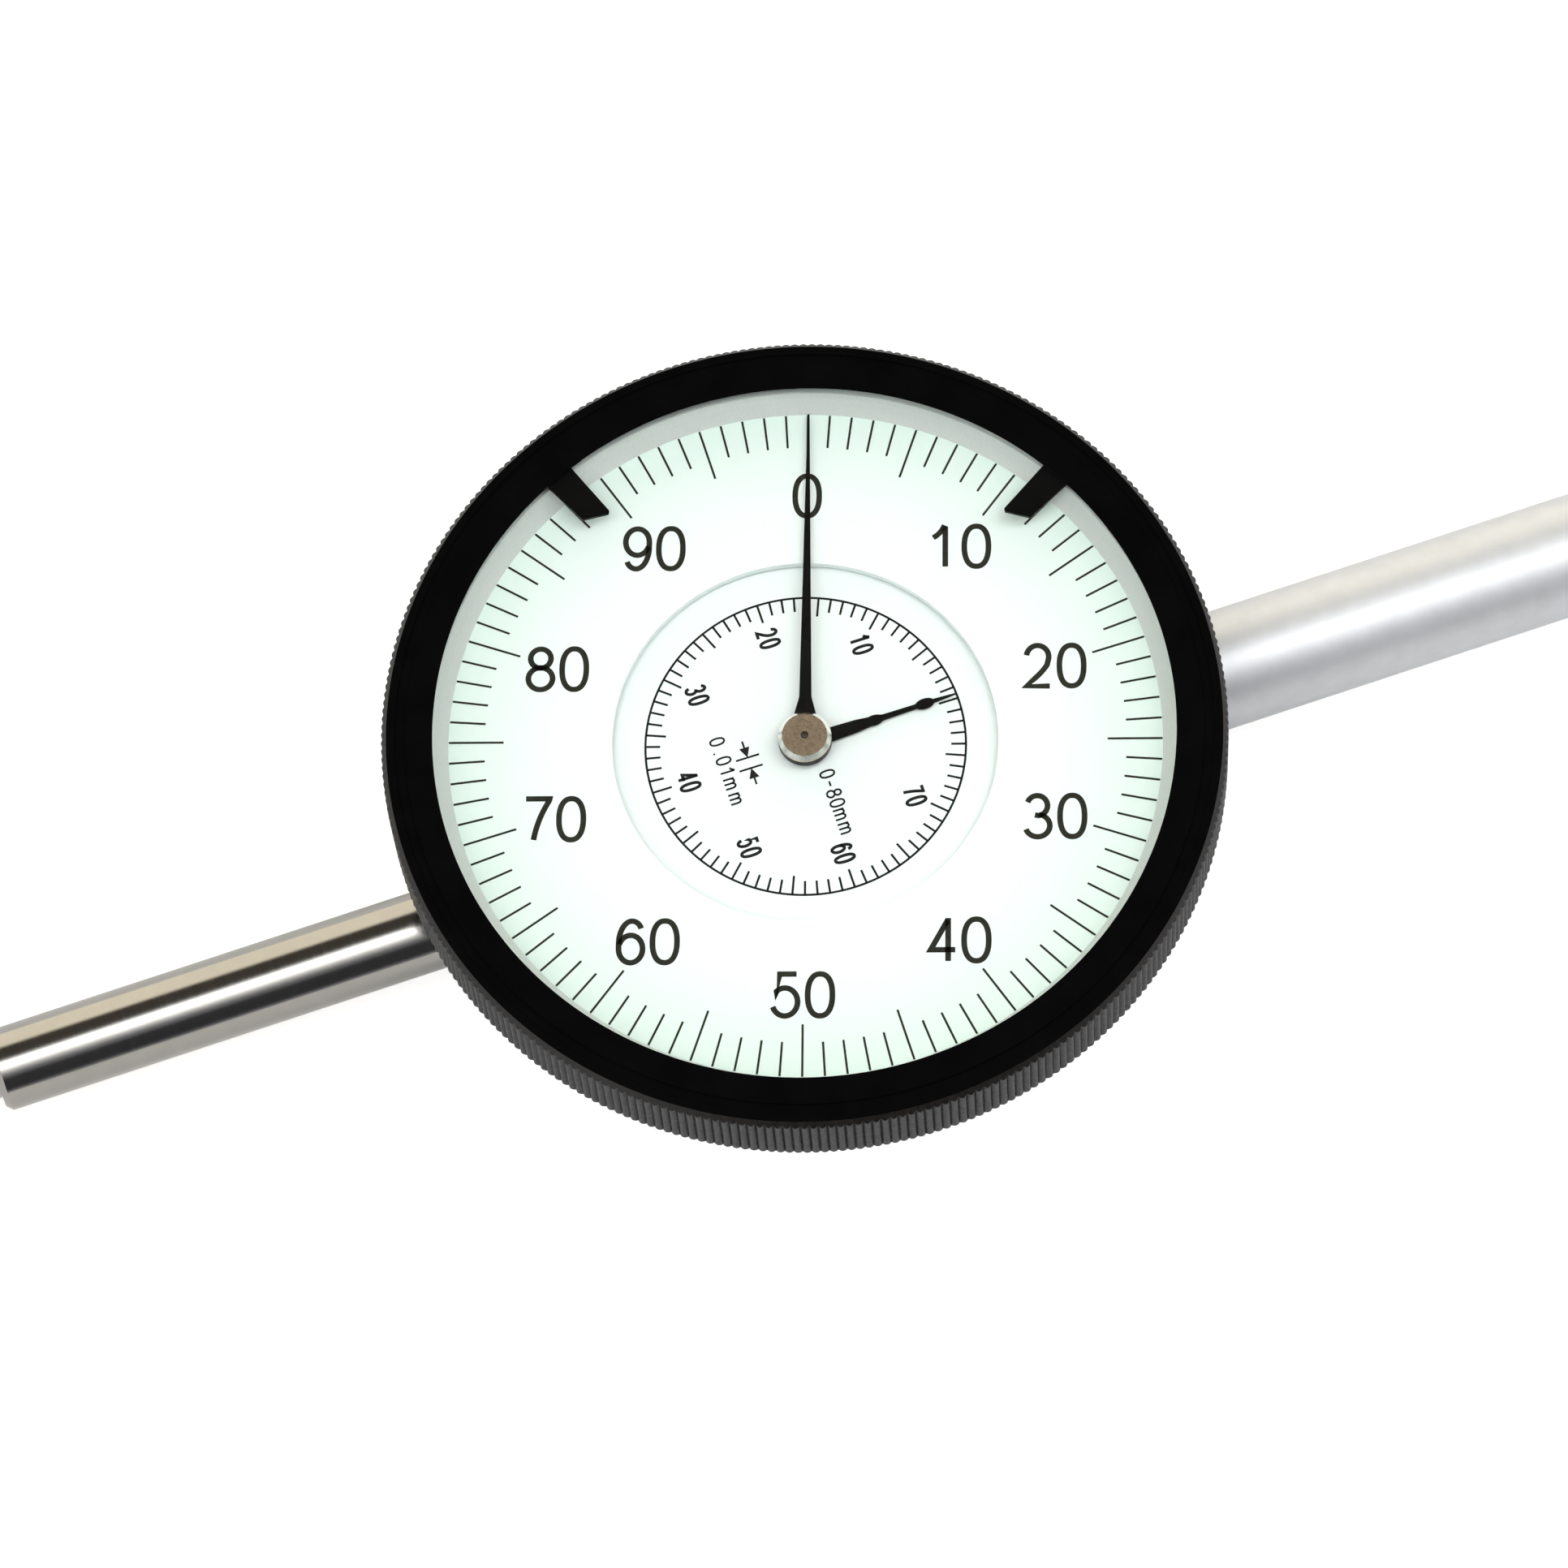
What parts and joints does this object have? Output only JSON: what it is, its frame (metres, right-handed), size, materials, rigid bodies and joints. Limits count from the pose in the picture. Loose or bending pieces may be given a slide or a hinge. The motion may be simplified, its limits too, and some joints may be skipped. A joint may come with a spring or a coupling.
{
  "type": "dial indicator",
  "caption": "Long-travel dial indicator with a large graduated face, inner revolution counter, turning bezel, limit pointers, plain clamping stem, plunger and closed cap tube.",
  "frame": {"origin": "centre of the back cover's outer face", "axes": "+Z out of the dial face, +Y along the spindle towards the cap tube, +X to the right"},
  "size_m": [0.08, 0.3102, 0.0287],
  "materials": {
    "satin_aluminium": "satin anodised",
    "ground_steel": "ground and polished",
    "hardened_steel": "hardened and lapped",
    "black_bezel": "satin black",
    "brass_plate": "grained",
    "brass_wheel": "polished",
    "bronze_bush": "turned",
    "arbor_steel": "polished",
    "spring_steel": "blued",
    "jewel": "polished synthetic ruby",
    "dial_white": "matt white",
    "pointer_black": "matt black coated",
    "hub_nickel": "turned nickel",
    "ring_silver": "bead-blasted",
    "crystal_clear": "clear, polished",
    "seal_rubber": "matt"
  },
  "bodies": {
    "case": {"case_body": "satin_aluminium", "back_cover": "satin_aluminium", "back_cover_screws": "arbor_steel", "stem": "ground_steel", "stem_bush": "bronze_bush", "case_bush": "bronze_bush", "neck": "satin_aluminium", "upper_bush": "bronze_bush", "guide_sleeve": "arbor_steel", "cap_tube": "satin_aluminium", "tube_end_cap": "satin_aluminium", "lower_plate": "brass_plate", "lower_pillars": "arbor_steel", "lower_plate_screws": "arbor_steel", "main_plate": "brass_plate", "main_plate_screws": "arbor_steel", "bridge_pillars": "arbor_steel", "bridge_plate": "brass_plate", "bridge_screws": "arbor_steel", "jewels": "jewel", "reduction_stud": "arbor_steel", "hairspring": "spring_steel", "hairspring_stud": "brass_wheel", "barrel_post": "arbor_steel", "mainspring": "spring_steel", "inner_dial": "dial_white", "dial_spacers": "brass_wheel", "bezel_spring": "spring_steel"},
    "spindle": {"spindle": "hardened_steel", "guide_pin": "hardened_steel", "contact_point": "ground_steel", "contact_ball": "hardened_steel"},
    "rack_arbor": {"rack_arbor": "arbor_steel", "rack_wheel": "brass_wheel"},
    "pointer_arbor": {"centre_arbor": "arbor_steel", "main_pointer": "pointer_black", "hub_cap": "hub_nickel"},
    "counter_hand": {"hand_wheel": "brass_wheel", "revolution_hand": "pointer_black"},
    "reduction": {"reduction_wheel": "brass_wheel"},
    "takeup": {"takeup_arbor": "arbor_steel", "takeup_wheel": "brass_wheel", "hairspring_collet": "brass_wheel"},
    "barrel": {"barrel_gear": "brass_wheel", "barrel_cover": "brass_wheel"},
    "bezel": {"bezel_ring": "black_bezel", "crystal": "crystal_clear", "crystal_seal": "seal_rubber", "spacer_ring": "ring_silver", "outer_dial": "dial_white", "dial_retainer": "satin_aluminium"},
    "limit_left": {"limit_pointer_left": "pointer_black"},
    "limit_right": {"limit_pointer_right": "pointer_black"}
  },
  "joints": [
    {"name": "spindle_slide", "type": "slide", "parent": "case", "child": "spindle", "axis": [0, 1, 0], "range_m": [0, 0.08], "stiffness_N_per_m": 20, "springref_m": -0.05},
    {"name": "rack_arbor_turn", "type": "hinge", "parent": "case", "child": "rack_arbor", "pos_m": [-0.00349, 0.01037, 0.009], "axis": [0, 0, 1], "continuous": true},
    {"name": "pointer_turn", "type": "hinge", "parent": "case", "child": "pointer_arbor", "pos_m": [0, 0, 0.0255], "axis": [0, 0, 1], "continuous": true},
    {"name": "counter_hand_turn", "type": "hinge", "parent": "case", "child": "counter_hand", "pos_m": [0, 0, 0.0243], "axis": [0, 0, 1], "continuous": true},
    {"name": "reduction_turn", "type": "hinge", "parent": "case", "child": "reduction", "pos_m": [0.00144, 0.00701, 0.0195], "axis": [0, 0, 1], "continuous": true},
    {"name": "takeup_turn", "type": "hinge", "parent": "case", "child": "takeup", "pos_m": [0.00349, -0.01037, 0.0149], "axis": [0, 0, 1], "continuous": true},
    {"name": "barrel_turn", "type": "hinge", "parent": "case", "child": "barrel", "pos_m": [-0.01145, 0.01037, 0.009], "axis": [0, 0, 1], "continuous": true},
    {"name": "bezel_turn", "type": "hinge", "parent": "case", "child": "bezel", "pos_m": [0, 0, 0.0244], "axis": [0, 0, 1], "continuous": true},
    {"name": "limit_left_turn", "type": "hinge", "parent": "bezel", "child": "limit_left", "pos_m": [0, 0, 0.0279], "axis": [0, 0, 1], "range_deg": [-36, 130]},
    {"name": "limit_right_turn", "type": "hinge", "parent": "bezel", "child": "limit_right", "pos_m": [0, 0, 0.0279], "axis": [0, 0, 1], "range_deg": [-130, 36]}
  ],
  "couplings": [
    {"joint": "rack_arbor_turn", "follows": "spindle_slide", "rad_per_m": 628.32},
    {"joint": "pointer_turn", "follows": "spindle_slide", "rad_per_m": -6283.2},
    {"joint": "takeup_turn", "follows": "spindle_slide", "rad_per_m": 628.32},
    {"joint": "counter_hand_turn", "follows": "spindle_slide", "rad_per_m": 78.54},
    {"joint": "reduction_turn", "follows": "spindle_slide", "rad_per_m": -157.08},
    {"joint": "barrel_turn", "follows": "spindle_slide", "rad_per_m": -157.08}
  ]
}
